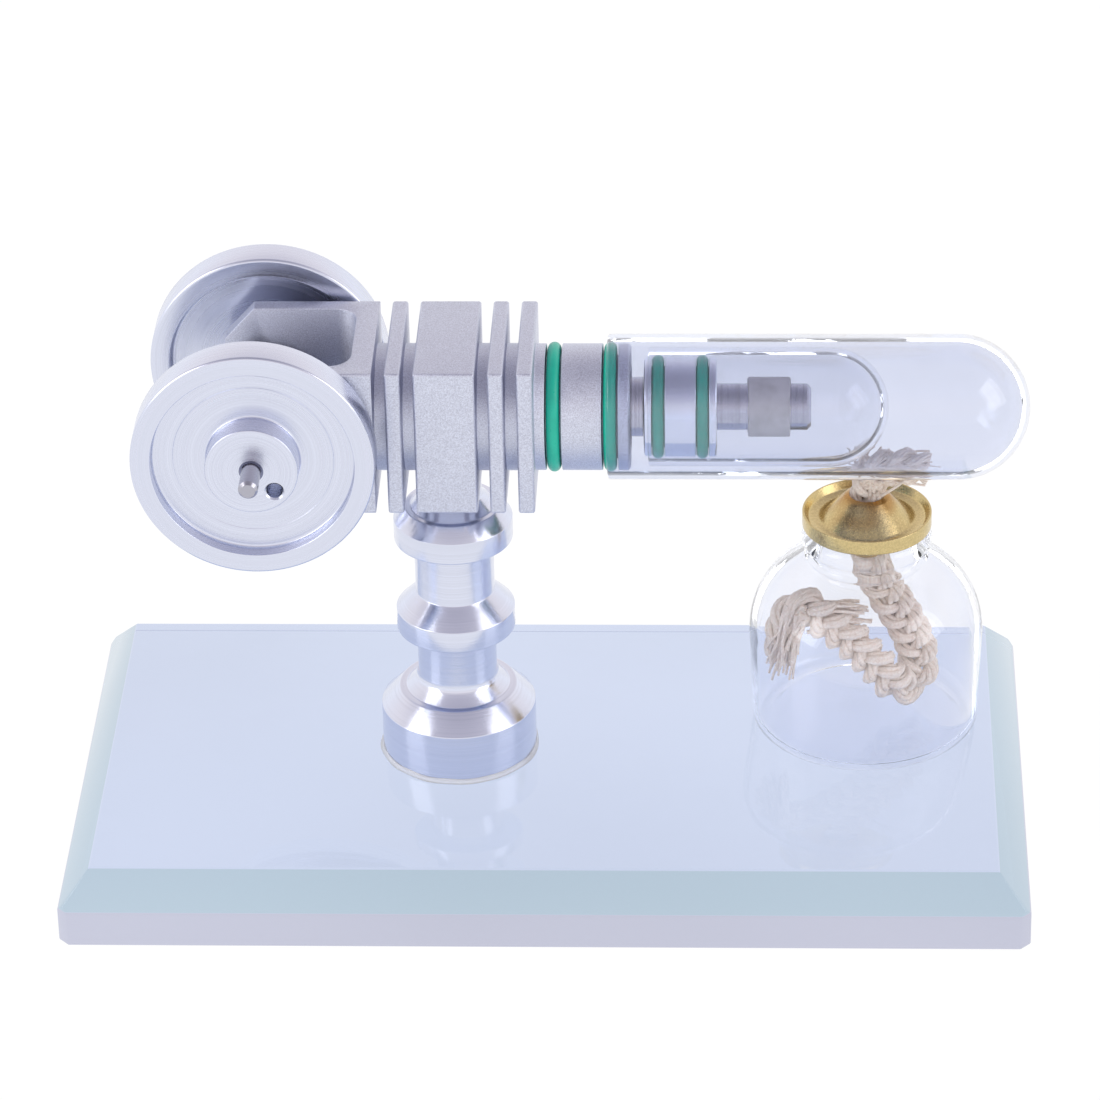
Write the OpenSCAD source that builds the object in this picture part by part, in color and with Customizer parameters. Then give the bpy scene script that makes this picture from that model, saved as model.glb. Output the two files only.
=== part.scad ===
// Desk model of a beta stirling engine: a glass plate carries a turned post,
// the post carries the cooled engine block, and a spirit lamp stands under the
// closed end of its hot tube.
// X runs along the cylinder towards the hot end, Y along the crankshaft and Z up.
// The origin is the middle of the plate's underside.

/* [Glass plate] */
// Length of the plate
base_length = 150; // [140:1:170]
// Depth of the plate
base_depth = 82; // [78:1:100]
// Thickness of the plate
base_height = 11.5; // [10:0.5:16]
// Height of the bevel round the top
base_bevel_h = 5.8; // [3:0.1:7]
// Width of the bevel on the two ends
base_bevel_x = 5; // [2:0.1:8]
// Width of the bevel along the two long sides
base_bevel_y = 4.6; // [2:0.1:8]

/* [Post and cylinder] */
// Place of the post's axis along the plate
post_x = -14.5; // [-16:0.1:-12]
// Height of the cylinder's axis above the plate
axis_rise = 61; // [61:0.5:66]
// Width and height of the square engine block
block_size = 24.2; // [24:0.1:25]
// Bore of the cylinder liner
bore_d = 13; // [12.8:0.1:13.1]
// Radial running clearance of the piston in the liner
piston_gap = 0.05; // [0.02:0.01:0.08]

/* [Crank and flywheels] */
// Distance from the post's axis back to the crankshaft
crank_back = 28.9; // [28.5:0.1:29.5]
// Throw of every crank pin
crank_r = 4.8; // [4.6:0.1:4.9]
// Diameter of the shafts and of the displacer rod
shaft_d = 3; // [2.8:0.1:3.1]
// Diameter of a flywheel
flywheel_d = 37.2; // [34:0.2:40]
// Width of a flywheel's rim
flywheel_w = 5.8; // [5:0.1:7]
// Length of a power connecting rod between its eyes
power_rod_l = 26; // [25.8:0.1:26.2]
// Length of the displacer connecting rod between its eyes
displacer_link_l = 36; // [35.8:0.1:36.2]

/* [Glass tubes] */
// Outside diameter of the hot tube
hot_tube_d = 22.5; // [22.3:0.1:23]
// Length of the hot tube
hot_tube_l = 64.8; // [62:0.2:70]
// Outside diameter of the displacer's glass tube
displacer_tube_d = 18.4; // [18:0.1:18.8]
// Length of the displacer's glass tube
displacer_tube_l = 36.9; // [36:0.1:38]

/* [Spirit lamp] */
// Place of the lamp along the plate
lamp_x = 50; // [45:0.5:52]
// Place of the lamp across the plate
lamp_y = 8.3; // [0:0.1:12]
// Widest radius of the bottle
bottle_r = 18.5; // [18:0.1:20]
// Thickness of the bottle's wall
bottle_wall = 1.2; // [1:0.1:1.5]
// Radius of the brass wick holder's rim
holder_r = 10.15; // [9.8:0.05:11]

/* [Hidden] */

eps = 0.01;
top = base_height;
axis_z = top + axis_rise;
half = block_size / 2;
bore_r = bore_d / 2;
liner_r = bore_r + 0.7;
shaft_r = shaft_d / 2;
crank_x = post_x - crank_back;
running = 0.04;

// Distances along the cylinder's axis, counted from the post's axis
nose_at = -35.1;
slot_end_at = -14.3;
fork_end_at = -10.95;
liner_back_at = -11;
spigot_end_at = 28.1;
hot_mouth_at = 24.4;
crown_at = 26.4;
gland_end_at = 29.93;
plug_at = 30.1;
plug_end_at = 41.3;
displacer_mouth_at = 30.7;
stem_end_at = 55.64;

// The two crank throws at rest, 90 degrees apart
throw_drop = crank_r * sin(45);
power_pin_x = crank_x + throw_drop;
displacer_pin_x = crank_x - throw_drop;
pin_z = axis_z - throw_drop;
piston_pin_x = power_pin_x + sqrt(pow(power_rod_l, 2) - pow(throw_drop, 2));
displacer_wrist_x = displacer_pin_x + sqrt(pow(displacer_link_l, 2) - pow(throw_drop, 2));

// Distances along the crankshaft from the middle plane, on both sides of it
inner_web_in = 1.4;
inner_web_out = 2.9;
eye_in = 3.1;
eye_out = 4.7;
outer_web_in = 4.9;
outer_web_out = 7.4;
slot_half = 9.3;
bearing_in = 10;
bearing_out = 12;
hub_in = 12.4;
rim_in = 13.1;
rim_out = rim_in + flywheel_w;
hub_out = rim_out + 1.6;
shaft_out = hub_out + 6;
web_r = 6.4;
pin_r = 1;
eye_r = 2.1;
ball_ring_r = 2.5;
ball_r = 0.55;

fin_spans = [[-9.03, -6.6], [-4.7, 4.7], [6.6, 9], [10.95, 13.45]];
spigot_r = 9.75;
core_r = 9.8;
seal_r = 1.02;
seal_ats = [16.25, 24.93];
plug_r = 7.7;
plug_seal_r = 0.9;
plug_seal_ats = [32.3, 39.07];
stem_r = 3.6;
neck_r = 9;
neck_bore_r = 7.6;
lip_z = 35.5;
tube_foot_z = 30.8;

steel = [0.62, 0.62, 0.64];
silver = [0.82, 0.84, 0.88];
teal = [0.12, 0.6, 0.55];
clear = [0.85, 0.92, 0.96, 0.4];
gold = [0.8, 0.7, 0.42];

// Wick route in the lamp's own frame: x, y, height above the plate, radius
wick_route = [
    [9.5, -1.3, 46, 2.4], [7, -1, 46.2, 2.8], [4, -0.6, 45.9, 2.9], [1.2, -0.2, 44.6, 2.9],
    [0, 0, 41.5, 2.8], [0, 0, 38, 2.8], [0, 0, 33, 2.75], [0, 0, 30.8, 2.75],
    [1, 0.2, 27.4, 3.1], [3.6, 0.8, 22, 3.3], [6.4, 1.2, 16.8, 3.3], [8.1, 1.2, 12.4, 3.3],
    [8.4, 0.4, 8.8, 3.3], [7, -1.2, 6.9, 3.3], [4.4, -2.6, 8, 3.3], [1.2, -3.6, 12.4, 3.3],
    [-2.6, -3.9, 16.8, 3.3], [-6.4, -4, 20.2, 3.3], [-9.2, -3.9, 22.4, 3.2], [-11.5, -3.5, 21.6, 3],
    [-12.9, -3, 18, 2.9], [-13.5, -2.7, 13.4, 2.6]
];
wick_steps = 2;
wick_sides = 12;

// Smooth curve through four numbers in turn
function blend4(a, b, c, d, t) = 0.5 * (2 * b + (c - a) * t
    + (2 * a - 5 * b + 4 * c - d) * t * t + (3 * b - a - 3 * c + d) * t * t * t);
function arc(cx, cy, r, a, b, n) = [for (i = [0 : n])
    let (t = a + (b - a) * i / n) [cx + r * cos(t), cy + r * sin(t)]];
function ellipse_arc(cx, cy, rx, ry, a, b, n) = [for (i = [0 : n])
    let (t = a + (b - a) * i / n) [cx + rx * cos(t), cy + ry * sin(t)]];

// Turned about the cylinder's axis, starting at a distance from the post
module on_axis(at) translate([post_x + at, 0, axis_z]) rotate([0, 90, 0]) children();

// Turned about a line along Y, starting at a distance from the middle plane
module across(x, z, from) translate([x, from, z]) rotate([-90, 0, 0]) children();

// On one side of the middle plane: -1 is the front, 1 the rear
module side(s) if (s > 0) children(); else mirror([0, 1, 0]) children();

// Rod between two distances across the middle plane
module cross_rod(x, z, r, from, to) across(x, z, from) cylinder(r = r, h = to - from, $fn = 32);

module ring(outer, inner, h, n = 64) difference() {
    cylinder(r = outer, h = h, $fn = n);
    translate([0, 0, -1]) cylinder(r = inner, h = h + 2, $fn = n);
}

module o_ring(at, outer, section) on_axis(at) rotate_extrude($fn = 64)
    translate([outer - section, 0]) circle(r = section, $fn = 20);

// Rectangle with its four corners cut
module cut_rect(w, h, c) polygon([
    [-w / 2 + c, -h / 2], [w / 2 - c, -h / 2], [w / 2, -h / 2 + c], [w / 2, h / 2 - c],
    [w / 2 - c, h / 2], [-w / 2 + c, h / 2], [-w / 2, h / 2 - c], [-w / 2, -h / 2 + c]
]);

// Block with all its edges broken, between two distances along the cylinder
module slab(from, to, c = 0.3) translate([post_x + (from + to) / 2, 0, axis_z]) intersection() {
    linear_extrude(block_size + 2, center = true) cut_rect(to - from, block_size, c);
    rotate([90, 0, 0]) linear_extrude(block_size + 2, center = true) cut_rect(to - from, block_size, c);
    rotate([90, 0, 90]) linear_extrude(to - from + 2, center = true) cut_rect(block_size, block_size, c);
}

module base_plate() color(clear) intersection() {
    corner = 1.6;
    low = base_height - base_bevel_h;
    linear_extrude(base_height) cut_rect(base_length, base_depth, corner);
    rotate([90, 0, 0]) linear_extrude(base_depth + 2, center = true) polygon([
        [-base_length / 2, 0], [base_length / 2, 0], [base_length / 2, low],
        [base_length / 2 - base_bevel_x, base_height],
        [-base_length / 2 + base_bevel_x, base_height], [-base_length / 2, low]
    ]);
    rotate([90, 0, 90]) linear_extrude(base_length + 2, center = true) polygon([
        [-base_depth / 2, 0], [base_depth / 2, 0], [base_depth / 2, low],
        [base_depth / 2 - base_bevel_y, base_height],
        [-base_depth / 2 + base_bevel_y, base_height], [-base_depth / 2, low]
    ]);
}

// Turned column: foot, two flanges and a cup that holds the block's boss
module post() color(silver) translate([post_x, 0, top]) difference() {
    rotate_extrude($fn = 96) polygon(concat(
        [[0, 0], [11.8, 0], [12.2, 0.4], [12.2, 8.2], [12, 8.4], [9.2, 11.2]],
        arc(9.2, 14.2, 3, 270, 180, 6),
        [[6.2, 22.1], [9.1, 22.1], [9.3, 22.3], [9.3, 25.6], [9.1, 25.8], [7, 28]],
        [[6.2, 28.9], [6.25, 38.1], [9.1, 38.1], [9.3, 38.3], [9.3, 41.6], [9.1, 41.8]],
        [[7.5, 43.8]],
        arc(7.5, 46.7, 2.9, 270, 180, 6),
        [[4.6, 48.9], [0, 48.9]]
    ));
    translate([0, 0, 40]) cylinder(r = 2, h = 12, $fn = 32);
}

// Clear glue that squeezed out round the foot
module glue_bead() color(clear) translate([post_x, 0, top]) rotate_extrude($fn = 64)
    polygon([[12.22, 0], [13, 0], [12.8, 0.5], [12.22, 0.8]]);

module post_stud() color(steel) translate([post_x, 0, top + 40.2])
    cylinder(r = 2, h = 12.6, $fn = 32);

// Fork, cooling fins, round core and the spigot for the hot tube, in one piece
module engine_block() color(silver) difference() {
    union() {
        translate([post_x, 0, axis_z]) rotate([90, 0, 0]) intersection() {
            linear_extrude(block_size, center = true) polygon([
                [nose_at, -6.9], [-30.4, -half], [fork_end_at, -half],
                [fork_end_at, half], [-30.4, half], [nose_at, 6.9]
            ]);
            translate([0, 0, 0]) rotate([0, 90, 0]) linear_extrude(80, center = true)
                cut_rect(block_size, block_size, 0.3);
        }
        for (s = fin_spans) slab(s[0], s[1]);
        on_axis(fork_end_at - 1) cylinder(r = core_r, h = 14 - fork_end_at, $fn = 96);
        on_axis(13) cylinder(r = spigot_r, h = spigot_end_at - 13.4, $fn = 96);
        on_axis(spigot_end_at - 0.4) cylinder(r1 = spigot_r, r2 = spigot_r - 0.4, h = 0.4, $fn = 96);
    }
    translate([post_x, 0, axis_z]) {
        translate([nose_at - 5, -slot_half, -half - 1])
            cube([slot_end_at - 3.5 - nose_at + 5, 2 * slot_half, block_size + 2]);
        translate([slot_end_at - 4, -slot_half + 3.5, -half - 1])
            cube([4, 2 * slot_half - 7, block_size + 2]);
        for (s = [-1, 1]) translate([slot_end_at - 3.5, s * (slot_half - 3.5), -half - 1])
            cylinder(r = 3.5, h = block_size + 2, $fn = 48);
    }
    on_axis(slot_end_at - 2) cylinder(r = liner_r, h = spigot_end_at - slot_end_at + 4, $fn = 64);
    for (i = [0, 1]) on_axis(seal_ats[i] - 1.25)
        ring(spigot_r + 1, spigot_r - 1.8, 2.5, 96);
    for (s = [-1, 1]) side(s) {
        across(crank_x, axis_z, slot_half - 1) cylinder(r = 2.6, h = 5, $fn = 48);
        across(crank_x, axis_z, bearing_in) cylinder(r = 3.5, h = 5, $fn = 48);
    }
    translate([post_x, 0, axis_z - half - 1]) cylinder(r = 2, h = 5, $fn = 32);
}

module cylinder_liner() color(steel) on_axis(liner_back_at)
    ring(liner_r - eps, bore_r, spigot_end_at - liner_back_at);

module spigot_seal(i) color(teal) o_ring(seal_ats[i], 9.99, seal_r);

// Test tube: a round-ended tube that is open towards the crank
module test_tube(at, d, l, wall) color(clear) on_axis(at) difference() {
    union() {
        cylinder(r = d / 2, h = l - d / 2, $fn = 96);
        translate([0, 0, l - d / 2]) sphere(r = d / 2, $fn = 96);
    }
    translate([0, 0, -d]) cylinder(r = d / 2 - wall, h = l + d / 2, $fn = 96);
    translate([0, 0, l - d / 2]) sphere(r = d / 2 - wall, $fn = 96);
}

// Outer race of a ball bearing, with its ball groove
module bearing_cup(s) color(steel) side(s) across(crank_x, axis_z, bearing_in) difference() {
    ring(3.5, 2.85, bearing_out - bearing_in, 48);
    ball_groove();
}

// Inner race of a ball bearing, with its ball groove
module bearing_cone(s) color(steel) side(s) across(crank_x, axis_z, bearing_in) difference() {
    ring(2.15, shaft_r, bearing_out - bearing_in, 48);
    ball_groove();
}

module ball_groove() translate([0, 0, (bearing_out - bearing_in) / 2]) rotate_extrude($fn = 48)
    translate([ball_ring_r, 0]) circle(r = ball_r + 0.03, $fn = 20);

module bearing_balls(s) color(steel) side(s)
    across(crank_x, axis_z, (bearing_in + bearing_out) / 2)
        for (a = [0 : 45 : 315]) rotate(a) translate([ball_ring_r, 0, 0])
            sphere(r = ball_r, $fn = 20);

module shaft(s) color(steel) side(s) across(crank_x, axis_z, outer_web_in + 0.5) {
    reach = shaft_out - outer_web_in - 0.5;
    held = hub_out - outer_web_in - 0.5;
    cylinder(r = shaft_r, h = held, $fn = 48);
    translate([0, 0, held - 0.1]) cylinder(r = shaft_r - 0.3, h = 0.8, $fn = 48);
    translate([0, 0, held + 0.6]) cylinder(r = shaft_r, h = reach - held - 1.1, $fn = 48);
    translate([0, 0, reach - 0.5]) cylinder(r1 = shaft_r, r2 = shaft_r - 0.4, h = 0.5, $fn = 48);
}

module spacer(s) color(steel) side(s) across(crank_x, axis_z, outer_web_out)
    ring(2.1, shaft_r, bearing_in - outer_web_out, 48);

module crank_disc(from, to, pins) difference() {
    across(crank_x, axis_z, from) cylinder(r = web_r, h = to - from, $fn = 64);
    for (x = pins) cross_rod(x, pin_z, pin_r, from - 1, to + 1);
}

module outer_web(s) color(steel) side(s) difference() {
    crank_disc(outer_web_in, outer_web_out, [power_pin_x]);
    across(crank_x, axis_z, outer_web_in + 0.5) cylinder(r = shaft_r, h = 5, $fn = 48);
}

module inner_web(s) color(steel) side(s)
    crank_disc(inner_web_in, inner_web_out, [power_pin_x, displacer_pin_x]);

// The lengths of the crank pins that are held in the webs
module crank_pins() color(steel) for (s = [-1, 1]) side(s) {
    cross_rod(power_pin_x, pin_z, pin_r, outer_web_in, outer_web_out);
    cross_rod(power_pin_x, pin_z, pin_r, inner_web_in, inner_web_out);
    cross_rod(displacer_pin_x, pin_z, pin_r, inner_web_in, inner_web_out);
}

// Turned wheel: deep rim, dished web, proud hub and one tapped hole in the hub
module flywheel(s) color(silver) side(s) difference() {
    across(crank_x, axis_z, 0) rotate_extrude($fn = 128) polygon(concat(
        [[shaft_r, 12.05], [2.2, 12.05], [2.2, hub_in], [6, hub_in], [6, 15.1], [15, 15.1]],
        arc(15, 14.6, 0.5, 90, 0, 3),
        [[15.5, rim_in + 0.4], [15.9, rim_in]],
        [[flywheel_d / 2 - 0.6, rim_in], [flywheel_d / 2, rim_in + 0.6]],
        [[flywheel_d / 2, rim_out - 0.6], [flywheel_d / 2 - 0.6, rim_out]],
        [[15.9, rim_out], [15.5, rim_out - 0.4]],
        arc(14.7, 17.3, 0.8, 0, -90, 4),
        [[7.9, 16.5]],
        arc(7.9, 17.3, 0.8, 270, 180, 4),
        [[7.1, hub_out - 0.4], [6.7, hub_out], [shaft_r, hub_out]]
    ));
    across(crank_x + throw_drop, pin_z, hub_out - 6) cylinder(r = 1.25, h = 7, $fn = 32);
}

// Graphite cup: a hollow skirt behind a flat crown
module power_piston() color([0.25, 0.25, 0.27]) difference() {
    on_axis(-2) cylinder(r = bore_r - piston_gap, h = crown_at + 2, $fn = 64);
    on_axis(-3) cylinder(r = 5.6, h = 27.6, $fn = 64);
    on_axis(20) cylinder(r = 3, h = 10, $fn = 32);
    cross_rod(piston_pin_x, axis_z, pin_r, -10, 10);
}

// Bush that guides the displacer rod through the piston's crown
module rod_gland() color([0.45, 0.43, 0.42]) difference() {
    union() {
        on_axis(24.6) cylinder(r = 3, h = crown_at - 24.6 + 1, $fn = 32);
        on_axis(crown_at) cylinder(r = 4.6, h = gland_end_at - crown_at, $fn = 64);
    }
    on_axis(23) cylinder(r = shaft_r + running, h = 8, $fn = 32);
}

// Two short pins in the piston's skirt, one for each power rod
module piston_pins() color(steel) for (s = [-1, 1]) side(s)
    cross_rod(piston_pin_x, axis_z, pin_r, 2.95, 6.2);

// Flat rod with an eye at each end, leaning down to its crank pin
module link(x0, z0, x1, z1, from, to) {
    run = sqrt(pow(x1 - x0, 2) + pow(z1 - z0, 2));
    lean = atan2(z1 - z0, x1 - x0);
    translate([x0, to, z0]) rotate([90, -lean, 0]) difference() {
        union() {
            cylinder(r = eye_r, h = to - from, $fn = 48);
            translate([run, 0, 0]) cylinder(r = eye_r, h = to - from, $fn = 48);
            translate([0, -1.3, 0]) cube([run, 2.6, to - from]);
        }
        translate([0, 0, -1]) cylinder(r = pin_r, h = to - from + 2, $fn = 32);
        translate([run, 0, -1]) cylinder(r = pin_r + running, h = to - from + 2, $fn = 32);
    }
}

module power_rod(s) color(silver) side(s)
    link(power_pin_x, pin_z, piston_pin_x, axis_z, eye_in, eye_out);

// The lengths of the power pins that turn with the rods' eyes
module power_journals() color(steel) for (s = [-1, 1]) side(s)
    cross_rod(power_pin_x, pin_z, pin_r, eye_in - 0.05, eye_out + 0.05);

module displacer_link() color(silver)
    link(displacer_pin_x, pin_z, displacer_wrist_x, axis_z, -1.2, 1.2);

module displacer_journal() color(steel)
    cross_rod(displacer_pin_x, pin_z, pin_r, -1.25, 1.25);

module displacer_rod() color(steel)
    on_axis(6.3) cylinder(r = shaft_r, h = 39 - 6.3, $fn = 32);

module displacer_clevis() color(silver) difference() {
    translate([post_x + 1.8, -2.6, axis_z - 2.4]) cube([6.3, 5.2, 4.8]);
    translate([post_x, -1.45, axis_z - 4]) cube([6, 2.9, 8]);
    cross_rod(displacer_wrist_x, axis_z, pin_r, -4, 4);
    on_axis(6.3) cylinder(r = shaft_r, h = 5, $fn = 32);
}

module displacer_pin() color(steel)
    cross_rod(displacer_wrist_x, axis_z, pin_r, -2.6, 2.6);

// Stopper that closes the displacer's tube, with two seal grooves and a recess for the gland
module displacer_plug() color(silver) difference() {
    union() {
        on_axis(plug_at) cylinder(r1 = plug_r - 0.3, r2 = plug_r, h = 0.3, $fn = 96);
        on_axis(plug_at + 0.3) cylinder(r = plug_r, h = plug_end_at - plug_at - 0.6, $fn = 96);
        on_axis(plug_end_at - 0.3) cylinder(r1 = plug_r, r2 = plug_r - 0.3, h = 0.3, $fn = 96);
    }
    on_axis(plug_at - 1) cylinder(r = shaft_r, h = 40 - plug_at, $fn = 32);
    on_axis(plug_at - 1) cylinder(r = 5.1, h = 4, $fn = 64);
    for (at = plug_seal_ats) on_axis(at - 1) ring(plug_r + 1, 6.15, 2, 96);
}

module displacer_seal(i) color(teal) o_ring(plug_seal_ats[i], 7.98, plug_seal_r);

// Thick steel end of the displacer's rod, inside its glass
module displacer_stem() color(steel) {
    on_axis(plug_end_at) cylinder(r = stem_r, h = stem_end_at - plug_end_at - 0.6, $fn = 64);
    on_axis(stem_end_at - 0.6) cylinder(r1 = stem_r, r2 = stem_r - 0.6, h = 0.6, $fn = 64);
}

module stem_sleeve() color([0.66, 0.63, 0.6]) on_axis(45.85)
    ring(4.6, stem_r, 6.8);

// Blown bottle: rounded foot, raised floor, round shoulder, neck and rolled lip
module lamp_bottle() color(clear) translate([lamp_x, lamp_y, top]) rotate_extrude($fn = 96)
    polygon(concat(
        [[0, 1.1], [8, 0.8], [14.6, 0]],
        arc(16, 2, 2, 270, 350, 4),
        ellipse_arc(neck_r, 16.5, bottle_r - neck_r, 12, 0, 80, 12),
        [[neck_r + 0.4, 29.2], [neck_r, 30.4], [neck_r + 0.1, 31.4]],
        arc(neck_r - 0.6, 33.5, 1.9, -50, 75, 6),
        [[8.2, lip_z], [neck_bore_r, lip_z - 0.6], [neck_bore_r, 29]],
        ellipse_arc(neck_r - 1.6, 16.5, bottle_r - bottle_wall - neck_r + 1.6, 11, 75, 0, 12),
        arc(15, 3.9, 2, -5, -80, 4),
        [[13, 2], [8, 2.8], [0, 3.4]]
    ));

// Turned brass cap with a raised cone round its wick tube
module wick_holder() color(gold) translate([lamp_x, lamp_y, top]) rotate_extrude($fn = 96)
    polygon([
        [2.85, tube_foot_z], [3.4, tube_foot_z], [3.4, lip_z], [holder_r - 0.3, lip_z],
        [holder_r, lip_z + 0.3], [holder_r, 37.9], [holder_r - 0.1, 38], [holder_r - 0.3, 38],
        [9.3, 36.9], [8, 36.2], [3.4, 40.8], [3.1, 41], [2.85, 41]
    ]);

// Points of the smoothed wick route, each with its radius
function at_route(i) = wick_route[max(0, min(len(wick_route) - 1, i))];
wick_line = concat([for (i = [0 : len(wick_route) - 2]) for (k = [0 : wick_steps - 1])
    [for (c = [0 : 3]) blend4(at_route(i - 1)[c], at_route(i)[c], at_route(i + 1)[c],
        at_route(i + 2)[c], k / wick_steps)]], [wick_route[len(wick_route) - 1]]);
function spot(i) = [for (c = [0 : 2]) wick_line[i][c]];
function unit(v) = v / norm(v);
function heading(i) = unit(spot(min(len(wick_line) - 1, i + 1)) - spot(max(0, i - 1)));
// The braid lies nearly in one plane, so Y serves as the rings' common side
function ring_side(i) = unit([0, 1, 0] - heading(i) * heading(i)[1]);
function wick_ring(i) = let (t = heading(i), u = ring_side(i), v = cross(t, u))
    [for (k = [0 : wick_sides - 1]) let (a = 360 * k / wick_sides)
        spot(i) + wick_line[i][3] * (u * cos(a) + v * sin(a))];

// Braided cotton, from the burning end down to the frayed end in the bottle
module wick() color([0.85, 0.78, 0.7]) translate([lamp_x, lamp_y, top]) {
    n = wick_sides;
    m = len(wick_line);
    polyhedron(
        points = [for (i = [0 : m - 1]) each wick_ring(i)],
        faces = concat(
            [[for (k = [0 : n - 1]) k]],
            [for (i = [0 : m - 2]) for (k = [0 : n - 1])
                [i * n + k, (i + 1) * n + k, (i + 1) * n + (k + 1) % n, i * n + (k + 1) % n]],
            [[for (k = [n - 1 : -1 : 0]) (m - 1) * n + k]]
        )
    );
}

base_plate();
post();
glue_bead();
post_stud();
engine_block();
cylinder_liner();
spigot_seal(0);  // spigot_seal_inner
spigot_seal(1);  // spigot_seal_outer
test_tube(hot_mouth_at, hot_tube_d, hot_tube_l, 1.25);  // hot_tube
bearing_cup(-1);  // bearing_cup_front
bearing_cup(1);  // bearing_cup_rear
bearing_cone(-1);  // bearing_cone_front
bearing_cone(1);  // bearing_cone_rear
bearing_balls(-1);  // bearing_balls_front
bearing_balls(1);  // bearing_balls_rear
shaft(-1);  // shaft_front
shaft(1);  // shaft_rear
spacer(-1);  // spacer_front
spacer(1);  // spacer_rear
outer_web(-1);  // outer_web_front
outer_web(1);  // outer_web_rear
inner_web(-1);  // inner_web_front
inner_web(1);  // inner_web_rear
crank_pins();
flywheel(-1);  // flywheel_front
flywheel(1);  // flywheel_rear
power_piston();
rod_gland();
piston_pins();
power_rod(-1);  // power_rod_front
power_rod(1);  // power_rod_rear
power_journals();
displacer_link();
displacer_journal();
displacer_rod();
displacer_clevis();
displacer_pin();
displacer_plug();
displacer_seal(0);  // displacer_seal_inner
displacer_seal(1);  // displacer_seal_outer
test_tube(displacer_mouth_at, displacer_tube_d, displacer_tube_l, 1.2);  // displacer_tube
displacer_stem();
stem_sleeve();
lamp_bottle();
wick_holder();
wick();
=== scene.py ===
"""Looks of a desk stirling engine: plate, post, finned block, flywheels, glass tubes and spirit lamp."""

import math
import random

import bmesh
import bpy
from bpy.props import FloatProperty, FloatVectorProperty, IntProperty, PointerProperty
from mathutils import Matrix, Vector


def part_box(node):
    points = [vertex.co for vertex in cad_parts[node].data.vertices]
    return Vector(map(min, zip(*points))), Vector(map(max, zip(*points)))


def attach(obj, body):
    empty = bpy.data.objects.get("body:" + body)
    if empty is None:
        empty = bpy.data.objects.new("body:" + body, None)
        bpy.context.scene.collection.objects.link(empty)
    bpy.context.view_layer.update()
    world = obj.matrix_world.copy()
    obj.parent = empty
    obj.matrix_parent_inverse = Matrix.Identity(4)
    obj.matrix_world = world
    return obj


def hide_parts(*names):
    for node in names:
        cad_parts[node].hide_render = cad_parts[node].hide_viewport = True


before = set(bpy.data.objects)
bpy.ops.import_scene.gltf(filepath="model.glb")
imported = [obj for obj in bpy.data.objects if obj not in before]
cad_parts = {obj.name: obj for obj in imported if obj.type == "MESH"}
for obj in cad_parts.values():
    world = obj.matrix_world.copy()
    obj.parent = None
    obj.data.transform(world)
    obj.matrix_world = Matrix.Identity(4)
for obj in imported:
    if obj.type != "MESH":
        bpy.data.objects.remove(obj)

bl_info = {
    "name": "Stirling engine finishes",
    "version": (1, 0, 0),
    "blender": (4, 5, 0),
    "location": "View3D > Sidebar > Stirling",
    "description": "Builds the detailed pieces and finishes of a desk stirling engine",
    "category": "Object",
}

MM = 0.001
TURN = 2 * math.pi
UP = Vector((0, 0, 1))
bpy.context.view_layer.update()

# The wick's route in the lamp's own frame, in mm: x, y, height above the plate, radius
WICK_ROUTE = [
    (9.5, -1.3, 46, 2.4), (7, -1, 46.2, 2.8), (4, -0.6, 45.9, 2.9), (1.2, -0.2, 44.6, 2.9),
    (0, 0, 41.5, 2.8), (0, 0, 38, 2.8), (0, 0, 33, 2.75), (0, 0, 30.8, 2.75),
    (1, 0.2, 27.4, 3.1), (3.6, 0.8, 22, 3.3), (6.4, 1.2, 16.8, 3.3), (8.1, 1.2, 12.4, 3.3),
    (8.4, 0.4, 8.8, 3.3), (7, -1.2, 6.9, 3.3), (4.4, -2.6, 8, 3.3), (1.2, -3.6, 12.4, 3.3),
    (-2.6, -3.9, 16.8, 3.3), (-6.4, -4, 20.2, 3.3), (-9.2, -3.9, 22.4, 3.2), (-11.5, -3.5, 21.6, 3),
    (-12.9, -3, 18, 2.9), (-13.5, -2.7, 13.4, 2.6),
]


def tone(code):
    """Linear colour of a six-digit sRGB code."""
    parts = [((code >> shift) & 255) / 255 for shift in (16, 8, 0)]
    return tuple(p / 12.92 if p <= 0.04045 else ((p + 0.055) / 1.055) ** 2.4 for p in parts)


def deep(shade):
    """The tint a glass needs so that one of its surfaces shows a shade."""
    return tuple(c * c for c in shade)


def middle(node):
    low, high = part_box(node)
    return (low + high) / 2


def size(node):
    low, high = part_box(node)
    return high - low


# Settings that a user would change

def length(name, description, mm, top):
    return FloatProperty(
        name=name, description=description, default=mm * MM, min=0, max=top * MM,
        unit="LENGTH", subtype="DISTANCE", precision=5,
    )


def colour(name, description, code):
    return FloatVectorProperty(
        name=name, description=description, default=tone(code), size=3, min=0, max=1, subtype="COLOR",
    )


def share(name, description, value, top=1.0):
    return FloatProperty(name=name, description=description, default=value, min=0, max=top, subtype="FACTOR")


class EngineSizes(bpy.types.PropertyGroup):
    """Small sizes that the finished pieces add to the frame"""

    plate_edge: length("Plate edge", "Width of the ground edge of the glass plate", 0.22, 1)
    block_edge: length("Block edge", "Width of the broken edges of the engine block", 0.16, 0.4)
    wheel_edge: length("Wheel edge", "Radius of a flywheel's rim edges", 0.5, 1.5)
    yarn: length("Yarn radius", "Radius of one cotton yarn in the wick", 0.47, 0.8)
    plait_turn: length("Plait length", "Length of one full turn of the wick's plait", 9.5, 20)
    lathe_steps: IntProperty(
        name="Lathe steps", description="Segments round a turned piece", default=144, min=24, max=256
    )


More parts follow.
